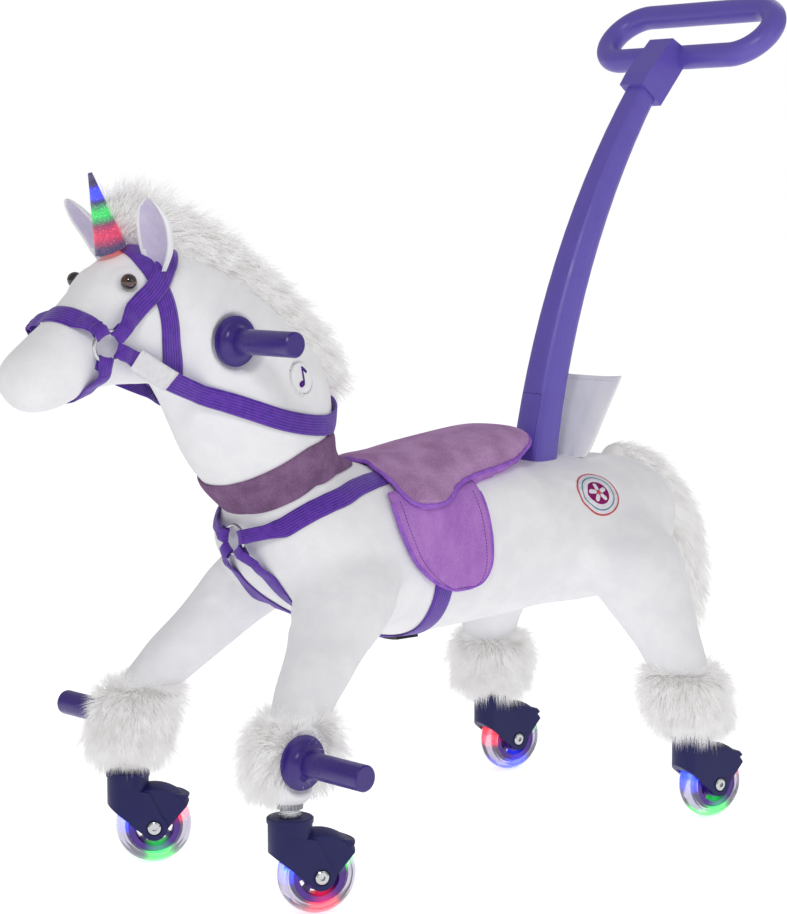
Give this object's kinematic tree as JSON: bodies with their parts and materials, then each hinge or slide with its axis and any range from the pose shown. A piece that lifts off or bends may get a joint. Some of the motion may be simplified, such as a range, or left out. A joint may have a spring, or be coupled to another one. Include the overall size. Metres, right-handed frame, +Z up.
{
  "type": "ride-on unicorn on casters",
  "caption": "Plush ride-on unicorn on swivel casters with hand grips, foot pegs, saddle, bridle and a lift-off push pole for a parent.",
  "frame": {"origin": "on the floor under the middle of the overall box", "axes": "+X to the head, +Y to the rider's left, +Z up"},
  "size_m": [0.9758, 0.462, 0.893],
  "materials": {
    "plush": "short pile white plush",
    "fur": "long pile ivory fur",
    "velour": "mauve velour",
    "felt": "orchid felt",
    "webbing": "purple ribbed webbing",
    "label": "blank white woven label",
    "nickel": "bright nickel plate",
    "frame_steel": "powder coated tube",
    "grip_plastic": "satin moulded violet",
    "pole_plastic": "satin moulded violet",
    "fork_plastic": "moulded navy violet",
    "core_plastic": "translucent purple moulding",
    "clear_tyre": "clear cast urethane",
    "horn": "smoky translucent glitter moulding",
    "eye": "polished dark button",
    "lamp": "lit lamp"
  },
  "bodies": {
    "horse": {"torso": "plush", "neck": "plush", "head": "plush", "ears": "plush", "front_left_leg": "plush", "front_right_leg": "plush", "rear_left_leg": "plush", "rear_right_leg": "plush", "mane": "fur", "tail": "fur", "fetlock_cuffs": "fur", "saddle_seat": "velour", "saddle_flaps": "felt", "girth_strap": "webbing", "girth_buckle": "fork_plastic", "breast_straps": "webbing", "neck_collar": "velour", "halter": "webbing", "reins": "webbing", "rein_tab": "label", "strap_rings": "nickel", "pole_flap": "plush", "eyes": "eye", "horn": "horn", "horn_lights": "lamp", "main_frame": "frame_steel", "leg_tubes": "frame_steel", "hand_grips": "grip_plastic", "foot_pegs": "grip_plastic", "handle_socket": "fork_plastic", "caster_stems": "nickel", "sound_module": "fork_plastic"},
    "push_handle": {"push_pole": "pole_plastic", "loop_handle": "pole_plastic"},
    "latch": {"pole_latch": "pole_plastic"},
    "sound_key": {"sound_button": "felt"},
    "front_left_caster": {"front_left_fork": "fork_plastic", "front_left_axle": "nickel"},
    "front_left_wheel": {"front_left_bearings": "nickel", "front_left_wheel_core": "core_plastic", "front_left_tyre": "clear_tyre", "front_left_wheel_lights": "lamp"},
    "front_right_caster": {"front_right_fork": "fork_plastic", "front_right_axle": "nickel"},
    "front_right_wheel": {"front_right_bearings": "nickel", "front_right_wheel_core": "core_plastic", "front_right_tyre": "clear_tyre", "front_right_wheel_lights": "lamp"},
    "rear_left_caster": {"rear_left_fork": "fork_plastic", "rear_left_axle": "nickel"},
    "rear_left_wheel": {"rear_left_bearings": "nickel", "rear_left_wheel_core": "core_plastic", "rear_left_tyre": "clear_tyre", "rear_left_wheel_lights": "lamp"},
    "rear_right_caster": {"rear_right_fork": "fork_plastic", "rear_right_axle": "nickel"},
    "rear_right_wheel": {"rear_right_bearings": "nickel", "rear_right_wheel_core": "core_plastic", "rear_right_tyre": "clear_tyre", "rear_right_wheel_lights": "lamp"}
  },
  "joints": [
    {"name": "handle_lift", "type": "slide", "parent": "horse", "child": "push_handle", "axis": [-0.1564, 0, 0.9877], "range_m": [0, 0.06]},
    {"name": "latch_press", "type": "slide", "parent": "push_handle", "child": "latch", "axis": [-0.9816, 0, -0.1908], "range_m": [0, 0.0025], "stiffness_N_per_m": 900, "springref_m": -0.001},
    {"name": "sound_press", "type": "slide", "parent": "horse", "child": "sound_key", "axis": [0.1675, -0.9633, -0.2098], "range_m": [0, 0.0025], "stiffness_N_per_m": 700, "springref_m": -0.001},
    {"name": "front_left_swivel", "type": "hinge", "parent": "horse", "child": "front_left_caster", "pos_m": [0.26094, 0.1258, 0.094], "axis": [0, 0, 1], "continuous": true},
    {"name": "front_left_spin", "type": "hinge", "parent": "front_left_caster", "child": "front_left_wheel", "pos_m": [0.23764, 0.13642, 0.038], "axis": [0.4147, 0.91, 0], "continuous": true},
    {"name": "front_right_swivel", "type": "hinge", "parent": "horse", "child": "front_right_caster", "pos_m": [0.26094, -0.1258, 0.094], "axis": [0, 0, 1], "continuous": true},
    {"name": "front_right_spin", "type": "hinge", "parent": "front_right_caster", "child": "front_right_wheel", "pos_m": [0.24023, -0.11075, 0.038], "axis": [0.5878, 0.809, 0], "continuous": true},
    {"name": "rear_left_swivel", "type": "hinge", "parent": "horse", "child": "rear_left_caster", "pos_m": [-0.28706, 0.1513, 0.094], "axis": [0, 0, 1], "continuous": true},
    {"name": "rear_left_spin", "type": "hinge", "parent": "rear_left_caster", "child": "rear_left_wheel", "pos_m": [-0.31216, 0.15632, 0.038], "axis": [0.1959, 0.9806, 0], "continuous": true},
    {"name": "rear_right_swivel", "type": "hinge", "parent": "horse", "child": "rear_right_caster", "pos_m": [-0.28706, -0.1513, 0.094], "axis": [0, 0, 1], "continuous": true},
    {"name": "rear_right_spin", "type": "hinge", "parent": "rear_right_caster", "child": "rear_right_wheel", "pos_m": [-0.3123, -0.14703, 0.038], "axis": [0.1668, 0.986, 0], "continuous": true}
  ]
}
